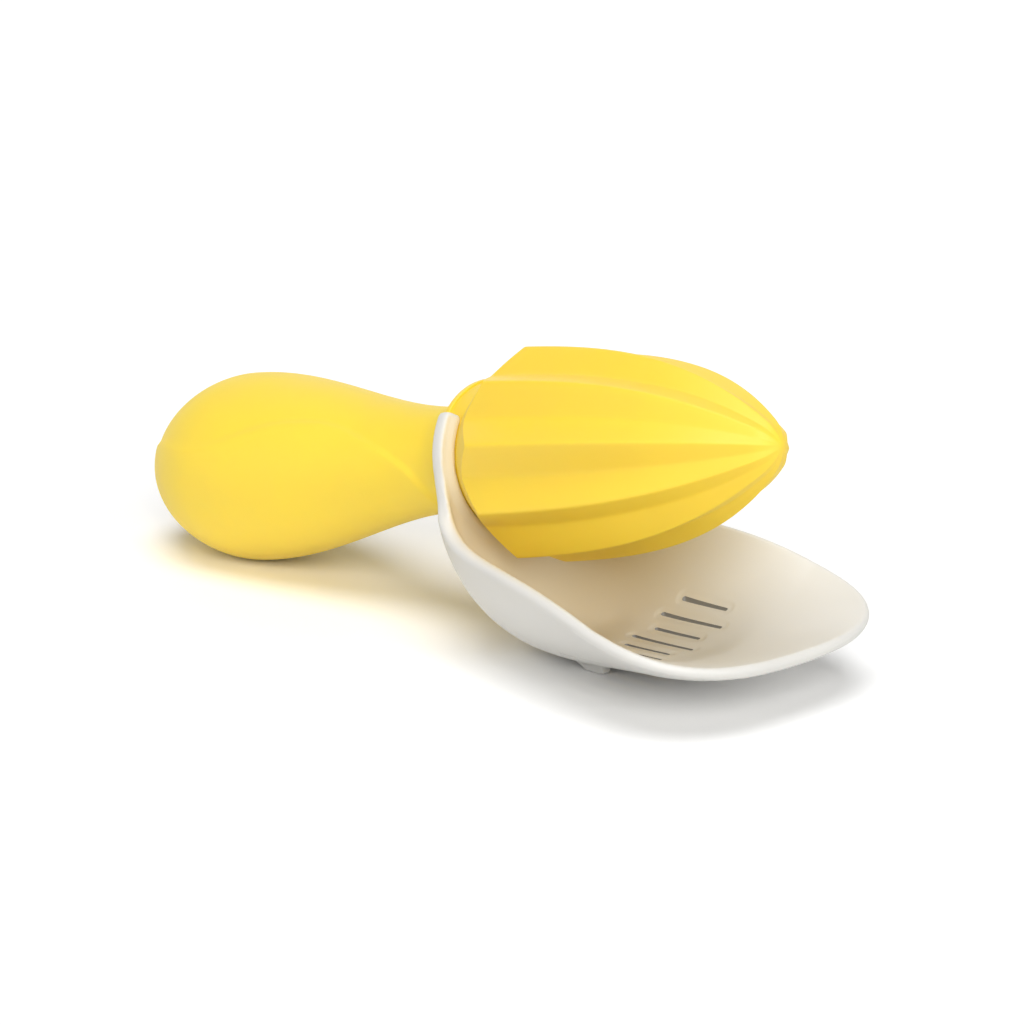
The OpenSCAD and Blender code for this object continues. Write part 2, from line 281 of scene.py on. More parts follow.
def handle_line(depth, per_curve):
    """Handle outline at a depth below the surface, from the butt to the neck."""
    line = []
    for curve in (BUTT_CURVE, WAIST_CURVE):
        for i in range(per_curve):
            t = (i + 1) / per_curve
            p, s = bezier(*curve, t), bezier_slope(*curve, t)
            n = math.hypot(*s)
            line.append((p[0] - depth * s[1] / n, p[1] + depth * s[0] / n))
    return [(0.0, depth)] + line


def panel_height(u, a):
    """How far the skin stands up at a place: 1 on the side panel, 0 above it."""
    up = abs(math.degrees(math.atan2(math.sin(a), math.cos(a))))
    edge = along(PANEL_EDGE, u)
    step = 0.4
    slope = (along(PANEL_EDGE, u + step) - along(PANEL_EDGE, u - step)) / (2.0 * step)
    gap = (edge - up) * math.radians(PANEL_ARC_R) / math.sqrt(1.0 + (math.radians(slope) * PANEL_ARC_R) ** 2)
    return smooth(0.5 + gap / PANEL_STEP)


def handle_skin():
    outer = handle_line(SKIN_INSET, 90)
    tail_rows = 8
    tail = [(NECK_R, NECK_AT + (FLANGE_AT - NECK_AT) * k / tail_rows) for k in range(1, tail_rows)]
    rim = [(NECK_R, FLANGE_AT - 0.25), (NECK_R - 0.08, FLANGE_AT - 0.07), (NECK_R - 0.28, FLANGE_AT)]
    inner = [(NECK_R - SKIN_T, FLANGE_AT)] + handle_line(SKIN_T, 24)[::-1]
    shown = len(outer) + len(tail)

    def lift(k, r, u, a):
        if k >= shown:
            return r, u
        fade = smooth(u / PANEL_FADE) * smooth((PANEL_END - u) / PANEL_FADE)
        down = PANEL_LIFT * (1.0 - panel_height(u, a)) * fade
        return r - down, u

    mesh = lathe(outer + tail + rim + inner, 200, lift)
    return keep_piece(mesh, "handle_skin", "reamer", ["handle_grip"], soft_skin, 50.0)


# Spindle: flange with softened corners, plug and grooved shank

SHANK_LEN, SHANK_R, GROOVE_R, GROOVE_LEN = 38.0, NECK_R - SKIN_T - 2.4, NECK_R - SKIN_T - 3.8, 4.0
SHANK_CHAMFER, FLANGE_ROUND = 0.4, 0.22


def spindle():
    soft, back = FLANGE_ROUND, FLANGE_AT - SHANK_LEN
    line = [(0.0, back), (SHANK_R - SHANK_CHAMFER, back), (SHANK_R, back + SHANK_CHAMFER)]
    for start in (back + GROOVE_LEN, back + 4 * GROOVE_LEN):
        end = start + GROOVE_LEN
        line += [(SHANK_R, start), (GROOVE_R, start), (GROOVE_R, end), (SHANK_R, end)]
    line += [(SHANK_R, FLANGE_AT), (FLANGE_R - soft, FLANGE_AT)]
    line += [(FLANGE_R - soft + soft * math.sin(a), FLANGE_AT + soft - soft * math.cos(a))
             for a in (math.pi / 6, math.pi / 3, math.pi / 2)]
    line += [(FLANGE_R - soft + soft * math.cos(a), SEAT_BACK - soft + soft * math.sin(a))
             for a in (0.0, math.pi / 6, math.pi / 3, math.pi / 2)]
    line += [(PLUG_R, SEAT_BACK), (PLUG_R, SEAT_BACK + PLUG_LEN), (0.0, SEAT_BACK + PLUG_LEN)]
    return keep_piece(lathe(line, 144), "neck_spindle_turned", "reamer",
                      ["neck_spindle"], spindle_nylon, 35.0)


# Ridged head, from a flat sheet that a node tree rolls up

class Maths:
    """Short words for number nodes in a tree."""

    def __init__(self, tree):
        self.tree = tree

    def node(self, kind, *values):
        made = self.tree.nodes.new("ShaderNodeMath")
        made.operation = kind
        for i, value in enumerate(values):
            if isinstance(value, (int, float)):
                made.inputs[i].default_value = value
            else:
                self.tree.links.new(value, made.inputs[i])
        return made.outputs[0]

    def add(self, *values):
        total = values[0]
        for value in values[1:]:
            total = self.node("ADD", total, value)
        return total

    def sub(self, a, b):
        return self.node("SUBTRACT", a, b)

    def mul(self, *values):
        total = values[0]
        for value in values[1:]:
            total = self.node("MULTIPLY", total, value)
        return total

    def div(self, a, b):
        return self.node("DIVIDE", a, b)

    def ramp(self, value, low, high):
        made = self.tree.nodes.new("ShaderNodeMapRange")
        made.clamp = True
        made.inputs["From Min"].default_value = low
        made.inputs["From Max"].default_value = high
        self.tree.links.new(value, made.inputs["Value"])
        return made.outputs["Result"]


def new_tree(name, inputs):
    tree = bpy.data.node_groups.new(name, "GeometryNodeTree")
    tree.interface.new_socket("Geometry", in_out="INPUT", socket_type="NodeSocketGeometry")
    for label, kind in inputs:
        tree.interface.new_socket(label, in_out="INPUT", socket_type=kind)
    tree.interface.new_socket("Geometry", in_out="OUTPUT", socket_type="NodeSocketGeometry")
    return tree, tree.nodes.new("NodeGroupInput"), tree.nodes.new("NodeGroupOutput")


def own_place(tree):
    """The x and y of each point that a tree works on."""
    where = tree.nodes.new("GeometryNodeInputPosition")
    split = tree.nodes.new("ShaderNodeSeparateXYZ")
    tree.links.new(where.outputs[0], split.inputs[0])
    return split.outputs["X"], split.outputs["Y"]


def end_tree(tree, given, result, made):
    """Ends a tree: one real mesh with its finish on it."""
    whole = tree.nodes.new("GeometryNodeRealizeInstances")
    tree.links.new(made, whole.inputs[0])
    paint = tree.nodes.new("GeometryNodeSetMaterial")
    tree.links.new(whole.outputs[0], paint.inputs["Geometry"])
    tree.links.new(given.outputs["Finish"], paint.inputs["Material"])
    tree.links.new(paint.outputs[0], result.inputs[0])
    return tree


def run_tree(tree, mesh, values):
    """Runs a node tree on a mesh and gives back the plain mesh."""
    holder = bpy.data.objects.new("holder", mesh)
    bpy.context.scene.collection.objects.link(holder)
    step = holder.modifiers.new("tree", "NODES")
    step.node_group = tree
    for item in tree.interface.items_tree:
        if item.in_out == "INPUT" and item.name in values:
            step[item.identifier] = values[item.name]
    graph = bpy.context.evaluated_depsgraph_get()
    made = bpy.data.meshes.new_from_object(holder.evaluated_get(graph))
    holder.modifiers.remove(step)
    bpy.data.objects.remove(holder)
    return made


# Crest line of a ridge as (radius, distance from the ridges' back), then the rounded nose
RIDGE_CURVE = ((RIDGE_R, 0.0), (0.957 * RIDGE_R, 0.422 * HEAD_LEN),
               (0.797 * RIDGE_R, 0.728 * HEAD_LEN), (TIP_R, HEAD_LEN))
NOSE_FROM, NOSE_LEN, NOSE_ROUND = 0.9, 60.4, 0.6
COLUMNS_PER_RIDGE, COLUMN_CROWDING, HEAD_ROWS = 26, 0.3, 201
# The hollow inside the head: its end, where it widens, its mouth, and its narrow radius
HOLLOW_END, HOLLOW_MID, HOLLOW_MOUTH, HOLLOW_R = 163.0, 157.0, 148.0, 9.5


def nose_curve():
    """Round nose that carries on from the crest line."""
    start, slope = bezier(*RIDGE_CURVE, NOSE_FROM), bezier_slope(*RIDGE_CURVE, NOSE_FROM)
    reach = (NOSE_LEN - start[1]) / slope[1]
    corner = start[0] + slope[0] * reach
    ease = (start[0] + NOSE_ROUND * slope[0] * reach, start[1] + NOSE_ROUND * slope[1] * reach)
    return start, ease, (NOSE_ROUND * corner, NOSE_LEN), (0.0, NOSE_LEN)


NOSE_CURVE = nose_curve()


def ridge_tree():
    """Rolls a sheet into the head: hollow, seat, cone behind the ridges, ridges and tip."""
    tree, given, result = new_tree("ridged_head", (
        ("Ridges", "NodeSocketFloat"), ("Ridge radius", "NodeSocketFloat"), ("Valley share", "NodeSocketFloat"),
        ("Phase", "NodeSocketFloat"), ("Crest softness", "NodeSocketFloat"),
        ("Valley softness", "NodeSocketFloat"), ("Seat radius", "NodeSocketFloat"),
        ("Cone length", "NodeSocketFloat"),
        ("Finish", "NodeSocketMaterial")))
    m = Maths(tree)
    sheet = tree.nodes.new("GeometryNodeMeshGrid")
    sheet.inputs["Size X"].default_value = 1.0
    sheet.inputs["Size Y"].default_value = 1.0
    sheet.inputs["Vertices X"].default_value = RIDGES * COLUMNS_PER_RIDGE + 1
    sheet.inputs["Vertices Y"].default_value = HEAD_ROWS
    sheet_x, sheet_y = own_place(tree)
    ridges, radius = given.outputs["Ridges"], given.outputs["Ridge radius"]
    share, seat_r = given.outputs["Valley share"], given.outputs["Seat radius"]
    t = m.add(sheet_y, 0.5)
    # Columns crowd together on the crests and in the valleys
    even = m.mul(m.add(sheet_x, 0.5), ridges, 2.0 * math.pi)
    wave_at = m.sub(even, m.mul(m.node("SINE", m.mul(even, 2.0)), COLUMN_CROWDING))
    turn = m.add(m.node("RADIANS", given.outputs["Phase"]), m.div(wave_at, ridges))
    # Wave from 0 on a crest to 1 in a valley, with straight flanks and soft turns
    swing = m.node("COSINE", wave_at)
    raw = m.div(m.node("ARCCOSINE", swing), math.pi)
    soft = m.add(m.mul(m.sub(1.0, raw), given.outputs["Crest softness"]),
                 m.mul(raw, given.outputs["Valley softness"]))
    eased = m.div(m.node("ARCCOSINE", m.mul(swing, m.sub(1.0, soft))), math.pi)
    # Straight flank from crest to valley in polar form
    half = m.div(math.pi, ridges)
    lean = m.node("ARCTAN2", m.sub(m.div(1.0, share), m.node("COSINE", half)), m.node("SINE", half))
    flank = m.div(m.node("COSINE", lean), m.node("COSINE", m.sub(m.mul(eased, half), lean)))

    # Bands of the sheet's rows, one for each part of the head
    hollow_a, hollow_b = m.ramp(t, 0.0, 0.03), m.ramp(t, 0.03, 0.05)
    socket, back = m.ramp(t, 0.05, 0.07), m.ramp(t, 0.07, 0.08)
    seat, cone, run = m.ramp(t, 0.08, 0.10), m.ramp(t, 0.10, 0.20), m.ramp(t, 0.20, 0.28)
    nose, dome = m.mul(m.ramp(t, 0.28, 0.90), NOSE_FROM), m.ramp(t, 0.90, 1.0)
    shallow = m.add(m.mul(m.ramp(t, 0.62, 0.90), 0.35), m.mul(dome, 0.35))

    edge_r = m.mul(radius, flank)
    edge_u = m.mul(given.outputs["Cone length"], m.div(m.sub(edge_r, seat_r), m.sub(radius, seat_r)))

    def cubic(x, curve, k):
        a, b, c, d = (p[k] for p in curve)
        c1, c2, c3 = 3 * (b - a), 3 * (a - 2 * b + c), d - a + 3 * (b - c)
        return m.mul(x, m.add(c1, m.mul(x, m.add(c2, m.mul(x, c3)))))

    crest_r = m.add(radius, cubic(nose, RIDGE_CURVE, 0), cubic(dome, NOSE_CURVE, 0))
    faded = m.sub(1.0, m.mul(m.sub(1.0, shallow), m.sub(1.0, flank)))
    r = m.add(m.mul(hollow_a, HOLLOW_R), m.mul(hollow_b, PLUG_R - HOLLOW_R), m.mul(back, SEAT_R - PLUG_R),
              m.mul(cone, m.sub(edge_r, seat_r)),
              m.sub(m.mul(faded, crest_r), edge_r))
    u = m.add(HOLLOW_END, m.mul(hollow_a, HOLLOW_MID - HOLLOW_END), m.mul(hollow_b, HOLLOW_MOUTH - HOLLOW_MID),
              m.mul(socket, SEAT_BACK - HOLLOW_MOUTH), m.mul(seat, SEAT_FRONT - SEAT_BACK),
              m.mul(cone, edge_u), m.mul(run, m.sub(given.outputs["Cone length"], edge_u)),
              cubic(nose, RIDGE_CURVE, 1), cubic(dome, NOSE_CURVE, 1))
    point = tree.nodes.new("ShaderNodeCombineXYZ")
    tree.links.new(m.mul(r, m.node("COSINE", turn)), point.inputs["X"])
    tree.links.new(m.mul(r, m.node("SINE", turn)), point.inputs["Y"])
    tree.links.new(u, point.inputs["Z"])
    place = tree.nodes.new("GeometryNodeSetPosition")
    tree.links.new(sheet.outputs["Mesh"], place.inputs["Geometry"])
    tree.links.new(point.outputs[0], place.inputs["Position"])
    weld = tree.nodes.new("GeometryNodeMergeByDistance")
    weld.inputs["Distance"].default_value = 0.0004
    tree.links.new(place.outputs[0], weld.inputs["Geometry"])
    return end_tree(tree, given, result, weld.outputs[0])


def ridged_head():
    mesh = run_tree(ridge_tree(), bpy.data.meshes.new("sheet"), {
        "Ridges": float(RIDGES), "Ridge radius": RIDGE_R, "Valley share": VALLEY_SHARE, "Phase": RIDGE_PHASE,
        "Crest softness": 0.02, "Valley softness": 0.03, "Seat radius": SEAT_R,
        "Cone length": RIDGE_AT - SEAT_FRONT, "Finish": ridge_nylon})
    return keep_piece(mesh, "ridged_head", "reamer", ["reamer_head"], ridge_nylon, 32.0)


# Strainer: scoop, clip and feet melted into one moulding, then slotted

CLIP_R, CLIP_T, CLIP_OPEN = 15.05, 3.1, 51.0
CLIP_BACK, CLIP_FRONT = SEAT_BACK + 0.45, SEAT_FRONT - 0.15
# The clip's front face leans: its outer edge, and its collar that follows the cone behind the ridges
PLATE_AT, COLLAR_R, COLLAR_AT = CLIP_FRONT - 0.5, CLIP_R + 0.42, CLIP_FRONT + 0.45
SCOOP_HALF_W, LIP_REACH, CORNER_POWER = 31.3, 21.4, 2.9
FLOOR_DROP, LIP_RISE, RIM_DROP = 38.95, 1.65, 26.6
WIDE_AT = CLIP_FRONT + 47.5
# The rim is rounded outside the line where the inner face ends
CLIP_BULGE, RIM_BULGE, RIM_SQUARE, RIM_ROUND, RIM_STEPS = 0.8, 1.6, 0.3, 0.9, 12
EDGE_R = CLIP_R + CLIP_T - CLIP_BULGE
WIDE_R = (SCOOP_HALF_W ** 2 + (FLOOR_DROP - RIM_DROP) ** 2) / (2.0 * (FLOOR_DROP - RIM_DROP))
WIDE_EDGE = SCOOP_HALF_W - RIM_BULGE
WIDE_EDGE_DROP = FLOOR_DROP - WIDE_R + math.sqrt(WIDE_R ** 2 - WIDE_EDGE ** 2)
# Where the rim leaves the clip, and the length over which the wall turns away from it
RIM_START, ROOT_EASE = 0.4, 3.0
HORN_END = math.radians(180.0 - CLIP_OPEN) - CLIP_BULGE / EDGE_R
RIM_RAIL = ((PLATE_AT, math.sqrt(EDGE_R ** 2 - RIM_START ** 2), RIM_START),
            (PLATE_AT, 17.95, 21.0),
            (WIDE_AT - 31.2, 27.1, 12.4),
            (WIDE_AT, WIDE_EDGE, WIDE_EDGE_DROP))
FLOOR_FALL = 0.07
FLOOR_RAIL = ((PLATE_AT, 0.0, EDGE_R), (PLATE_AT, 0.0, FLOOR_DROP - 1.0),
              (WIDE_AT - 30.0, 0.0, FLOOR_DROP - 30.0 * FLOOR_FALL), (WIDE_AT, 0.0, FLOOR_DROP))
# Wall and rim bulge by distance from the butt, and how much thinner the wall is up the sides
WALL_KNOTS = ((PLATE_AT, PLATE_AT - CLIP_BACK), (112.0, 3.0), (124.0, 3.05), (150.0, 3.0), (177.0, 2.3))
BULGE_KNOTS = ((PLATE_AT, CLIP_BULGE), (116.0, 1.2), (WIDE_AT, RIM_BULGE))
RIM_THINNER, THIN_RUN, THIN_FROM_Y, THIN_OVER_Y = 0.55, 14.0, 12.0, 16.0
LIP_SPREAD = 1.4
SLOTS_EACH_SIDE, SLOT_PITCH, SLOT_AT = 4, 4.3, CLIP_FRONT + 30.0
SHORT_SLOT, LONG_SLOT, SLOT_W, SLOT_DRAFT = 11.5, 15.5, 0.85, 0.05
# Each slot's cutter starts this far above the floor and is this long; the cut's slivers narrower than the gap close
CUTTER_LEAD, CUTTER_DEPTH, CUT_GAP = 1.9, 6.3, 0.004
DISH_HALF_W, DISH_SLOPE, DISH_DEPTH, DISH_END_IN = 1.9, 1.1, 0.2, 0.3
TIP_SLOPE, TIP_REACH, TIP_FADE, TIP_FLAT_Y, TIP_FADE_Y = 0.075, 18.0, 10.0, 4.0, 16.0
# Faces on the inside of the floor point up at least this far; finer faces reach past the slots
INNER_FACING, BED_MARGIN = -0.5, 3.0
FOOT_Y, FOOT_HALF_W = 5.6, 1.0
PAD_AT, PAD_END, PAD_BACK_CUT, PAD_FRONT_CUT = CLIP_FRONT + 18.4, CLIP_FRONT + 24.0, 0.5, 0.35
# Voxel and smoothing rounds of the melted skin, and the shares of a voxel within which it keeps true
MELT_VOXEL, MELT_ROUNDS, TRUE_NEAR, TRUE_FAR = 0.47, 4, 0.10, 0.42
# Painted tan of yellow light bounced off the head, with the shade under it, faces the scoop's middle and fades out
# towards the lip
SCOOP_MIDDLE = Vector((16.0, 0.0, 146.0))
TINT_FACING, TINT_TURN, TINT_END, TINT_FADE = 0.15, 0.45, 151.0, 44.0
# Slot walls stand this steep and get painted shade down to this depth
WALL_FACING, WALL_SHADE_DEPTH = 0.45, 1.6


def bowl_section(t):
    """Floor place, rim place and radius of the bowl's arc between the clip (t 0) and the widest place (t 1)."""
    base, rim = bezier(*FLOOR_RAIL, t), bezier(*RIM_RAIL, t)
    sag = base[2] - rim[2]
    return base, rim, sag, (rim[1] ** 2 + sag ** 2) / (2.0 * sag)


def rim_turn(t):
    """Angle up from the bottom at which a section of the bowl reaches the rim."""
    base, rim, sag, r = bowl_section(t)
    return 2.0 * math.atan(sag / rim[1])


def bowl_place(t, turn):
    """Place on the bowl's inner face as (drop, across, along)."""
    base, rim, sag, r = bowl_section(t)
    up = r * (1.0 - math.cos(turn))
    return Vector((base[2] - up, r * math.sin(turn), base[0] + (rim[0] - base[0]) * up / sag))


def front_place(turn, f):
    """Inner face in front of the widest place.

    turn runs from -1 to 1 round the lip, and f from 0 in the middle to 1 at the rim.
    """
    x = abs(turn)
    swing = 0.5 * math.pi * x ** LIP_SPREAD / (x ** LIP_SPREAD + (1.0 - x) ** LIP_SPREAD)
    reach = LIP_REACH * max(0.0, math.cos(swing)) ** (2.0 / CORNER_POWER)
    wide = SCOOP_HALF_W * max(0.0, math.sin(swing)) ** (2.0 / CORNER_POWER)
    f *= 1.0 - RIM_BULGE / math.hypot(reach, wide)
    reach, across = reach * f, wide * f
    share = min(1.0, max(0.0, reach / LIP_REACH))
    rim_y = SCOOP_HALF_W * (1.0 - share ** CORNER_POWER) ** (1.0 / CORNER_POWER)
    dip = FLOOR_FALL * LIP_REACH
    floor = FLOOR_DROP + dip * share - (LIP_RISE + dip) * share ** 2
    sag = floor - RIM_DROP - (FLOOR_DROP - LIP_RISE - RIM_DROP) * share
    r = (rim_y ** 2 + sag ** 2) / (2.0 * sag)
    up = r - math.sqrt(max(0.0, r * r - across * across))
    return Vector((floor - up, math.copysign(across, turn), WIDE_AT + reach))


def wall_at(p):
    """The wall thins from the clip to the lip and up the sides."""
    up_side = smooth((p.z - PLATE_AT) / THIN_RUN) * smooth((abs(p.y) - THIN_FROM_Y) / THIN_OVER_Y)
    return along(WALL_KNOTS, p.z) - RIM_THINNER * up_side


def slot_length(k):
    """Length of a slot by its number from the middle one: short and long by turns."""
    return SHORT_SLOT if k % 2 == 0 else LONG_SLOT


def dish_depth(p):
    """Soft hollow round each slot on the inner face."""
    deep = 0.0
    for k in range(-SLOTS_EACH_SIDE, SLOTS_EACH_SIDE + 1):
        dy = p.y - k * SLOT_PITCH
        du = max(0.0, abs(p.z - SLOT_AT) - slot_length(k) / 2.0 + DISH_END_IN)
        deep = max(deep, smooth((DISH_HALF_W - math.hypot(dy, du)) / DISH_SLOPE))
    return DISH_DEPTH * deep


def floor_tip(p):
    """Extra fall of the inner floor round the slots, eased out before the walls and the lip."""
    u = p.z - SLOT_AT
    share = smooth((TIP_REACH - abs(u)) / TIP_FADE) * (1.0 - smooth((abs(p.y) - TIP_FLAT_Y) / TIP_FADE_Y))
    return TIP_SLOPE * u * share


STRAIGHT_BACK = Vector((0.0, 0.0, -1.0))


def lean_back(p, normal):
    """Way from the inner face to the outer face, eased in from straight back at the clip."""
    return STRAIGHT_BACK.lerp(normal, smooth((p.z - PLATE_AT) / ROOT_EASE)).normalized()


def scoop_sheet(sheet):
    """Inner face of clip, bowl and lip as one sheet; gives back its edge, its bore and the clip's back."""
    rows, ring_rows, floor_cols, rim_cols, horn_cols, fan = 90, 8, 75, 130, 36, 240
    lines = [(rim_turn(1.0) * j / floor_cols, 1.0) for j in range(floor_cols)]
    lines += [(rim_turn(1.0 - j / rim_cols), 1.0 - j / rim_cols) for j in range(rim_cols + 1)]
    root, last = floor_cols + rim_cols, floor_cols + rim_cols + horn_cols
    lines += [(rim_turn(0.0) + (HORN_END - rim_turn(0.0)) * j / horn_cols, 0.0)
              for j in range(1, horn_cols + 1)]
    grid, back = {}, {}
    for j in range(-last, last + 1):
        turn, reach = lines[abs(j)]
        turn = math.copysign(turn, j)
        for i in range(ring_rows + 1):
            out = i / ring_rows
            r, r_back = COLLAR_R + (EDGE_R - COLLAR_R) * out, CLIP_R + (EDGE_R - CLIP_R) * out
            u = COLLAR_AT + (PLATE_AT - COLLAR_AT) * out
            grid[i, j] = sheet.verts.new((r * math.cos(turn), r * math.sin(turn), u))
            back[grid[i, j]] = Vector((r_back * math.cos(turn), r_back * math.sin(turn), CLIP_BACK))
        for i in range(1, rows + 1 if abs(j) < root else 1):
            grid[ring_rows + i, j] = sheet.verts.new(bowl_place(reach * i / rows, turn))
    end = ring_rows + rows
    for j in range(-last, last):
        for i in range(end):
            corners = [(i, j), (i, j + 1), (i + 1, j + 1), (i + 1, j)]
            corners = [grid[c] for c in corners if c in grid]
            if len(corners) == 4 or (len(corners) == 3 and i == ring_rows):
                sheet.faces.new(corners)
    for side in (-1, 1):
        corner, column = grid[ring_rows, side * root], side * (root - 1)
        for i in range(ring_rows + 1, end):
            sheet.faces.new((corner, grid[i, column], grid[i + 1, column]))
    spokes = [[grid[end, -m] for m in range(floor_cols + 1)]]
    for k in range(1, fan):
        turn = 2.0 * k / fan - 1.0
        spokes.append([grid[end, 0]] + [sheet.verts.new(front_place(turn, m / floor_cols))
                                        for m in range(1, floor_cols + 1)])
    spokes.append([grid[end, m] for m in range(floor_cols + 1)])
    for low, high in zip(spokes, spokes[1:]):
        sheet.faces.new((low[0], high[1], low[1]))
        for m in range(1, floor_cols):
            sheet.faces.new((low[m], high[m], high[m + 1], low[m + 1]))

    def half_edge(side):
        edge = [grid[i, side * last] for i in range(ring_rows + 1)]
        edge += [grid[ring_rows, side * j] for j in range(last - 1, root - 1, -1)]
        return edge + [grid[end, side * j] for j in range(root - 1, floor_cols - 1, -1)]

    bore = [grid[0, j] for j in range(-last, last + 1)]
    edge = half_edge(-1) + [spoke[floor_cols] for spoke in spokes[1:-1]] + half_edge(1)[::-1]
    return edge, bore, back, grid[end, 0]


def scoop_shell(bm):
    """Closed wall of clip and scoop: inner face, outer face, rounded rim and the clip's bore."""
    sheet = bmesh.new()
    edge, bore, back, middle = scoop_sheet(sheet)
    bmesh.ops.recalc_face_normals(sheet, faces=sheet.faces)
    sheet.normal_update()
    flip = 1.0 if middle.normal.x > 0.0 else -1.0
    verts = list(sheet.verts)
    place = {v: n for n, v in enumerate(verts)}
    normal = [STRAIGHT_BACK if v in back else lean_back(v.co, v.normal * flip) for v in verts]
    inner = [bm.verts.new(v.co) for v in verts]
    outer = [bm.verts.new(back[v] if v in back else v.co + n * wall_at(v.co))
             for v, n in zip(verts, normal)]
    for face in sheet.faces:
        ring = [place[v] for v in face.verts]
        bm.faces.new([inner[n] for n in ring])
        bm.faces.new([outer[n] for n in reversed(ring)])
    # Rounded rim from the near end of the clip, round the lip, to its far end
    half = len(edge) // 2
    ahead = (edge[half + 1].co - edge[half - 1].co).cross(normal[place[edge[half]]]).z
    bands = []
    for n, v in enumerate(edge):
        run = edge[min(n + 1, len(edge) - 1)].co - edge[max(n - 1, 0)].co
        k = place[v]
        way = run.cross(normal[k]).normalized() * math.copysign(1.0, ahead)
        band = [inner[k]]
        for q in range(1, RIM_STEPS):
            bend = math.pi * q / RIM_STEPS
            power = RIM_SQUARE if 2 * q < RIM_STEPS else RIM_ROUND
            swell = along(BULGE_KNOTS, v.co.z) * math.sin(bend) ** power
            band.append(bm.verts.new(v.co.lerp(outer[k].co, (1.0 - math.cos(bend)) / 2.0) + way * swell))
        band.append(outer[k])
        bands.append(band)
    for low, high in zip(bands, bands[1:]):
        for q in range(RIM_STEPS):
            bm.faces.new((low[q], low[q + 1], high[q + 1], high[q]))
    seat = [bm.verts.new((outer[place[v]].co.x, outer[place[v]].co.y, CLIP_FRONT)) for v in bore]
    bm.faces.new(bands[0] + [seat[0]])
    bm.faces.new(bands[-1][::-1] + [seat[-1]])
    for n in range(len(bore) - 1):
        k, m = place[bore[n]], place[bore[n + 1]]
        bm.faces.new((inner[k], seat[n], seat[n + 1], inner[m]))
        bm.faces.new((seat[n], outer[k], outer[m], seat[n + 1]))
    sheet.free()


def prism(bm, outline, place):
    """Closed solid between two copies of an outline; place(point, side) puts each corner."""
    low = [bm.verts.new(place(p, 0)) for p in outline]
    high = [bm.verts.new(place(p, 1)) for p in outline]
    n = len(outline)
    bm.faces.new(low[::-1])
    bm.faces.new(high)
    for i in range(n):
        bm.faces.new((low[i], low[(i + 1) % n], high[(i + 1) % n], high[i]))


def table_drop(u):
    """Drop from the axis to the table at a distance from the butt."""
    level = math.hypot(axis_dir.x, axis_dir.y)
    return butt.z / MM / level + u * (axis_dir.z / level)


def foot(bm, y):
    """Rib along the scoop's underside with a pad that stands on the table."""
    outline = []
    for i in range(9):
        p = bezier(*FLOOR_RAIL, 0.22 + 0.05 * i)
        outline.append((p[2] + 1.4, p[0] - 0.6))
    pad_toe, pad_heel = PAD_END - PAD_FRONT_CUT, PAD_AT + PAD_BACK_CUT
    outline += [(FLOOR_DROP + 1.1, PAD_END), (table_drop(PAD_END) - PAD_FRONT_CUT, PAD_END),
                (table_drop(pad_toe), pad_toe), (table_drop(pad_heel), pad_heel),
                (table_drop(PAD_AT) - PAD_BACK_CUT, PAD_AT),
                (FLOOR_DROP + 0.3, PAD_AT - 1.4), (FLOOR_DROP - 3.6, CLIP_FRONT + 2.5)]
    prism(bm, outline, lambda p, side: (p[0], y + (FOOT_HALF_W if side else -FOOT_HALF_W), p[1]))


def melt(parts, voxel, rounds):
    """Joins overlapping solids into one skin, softens its edges and keeps its faces true."""
    bm = bmesh.new()
    for part in parts:
        part(bm)
    bmesh.ops.recalc_face_normals(bm, faces=bm.faces)
    mesh = bpy.data.meshes.new("raw")
    bm.to_mesh(mesh)
    true_faces = BVHTree.FromBMesh(bm)
    bm.free()
    holder = bpy.data.objects.new("holder", mesh)
    bpy.context.scene.collection.objects.link(holder)
    skin = holder.modifiers.new("skin", "REMESH")
    skin.mode, skin.voxel_size, skin.adaptivity = "VOXEL", voxel, 0.0
    ease = holder.modifiers.new("ease", "SMOOTH")
    ease.factor, ease.iterations = 0.5, rounds
    graph = bpy.context.evaluated_depsgraph_get()
    made = bpy.data.meshes.new_from_object(holder.evaluated_get(graph))
    holder.modifiers.clear()
    bpy.data.objects.remove(holder)
    near, far = TRUE_NEAR * voxel, TRUE_FAR * voxel
    for v in made.vertices:
        spot, _, _, gap = true_faces.find_nearest(v.co)
        keep = 1.0 - smooth((gap - near) / (far - near))
        v.co = v.co.lerp(spot, keep)
    return made


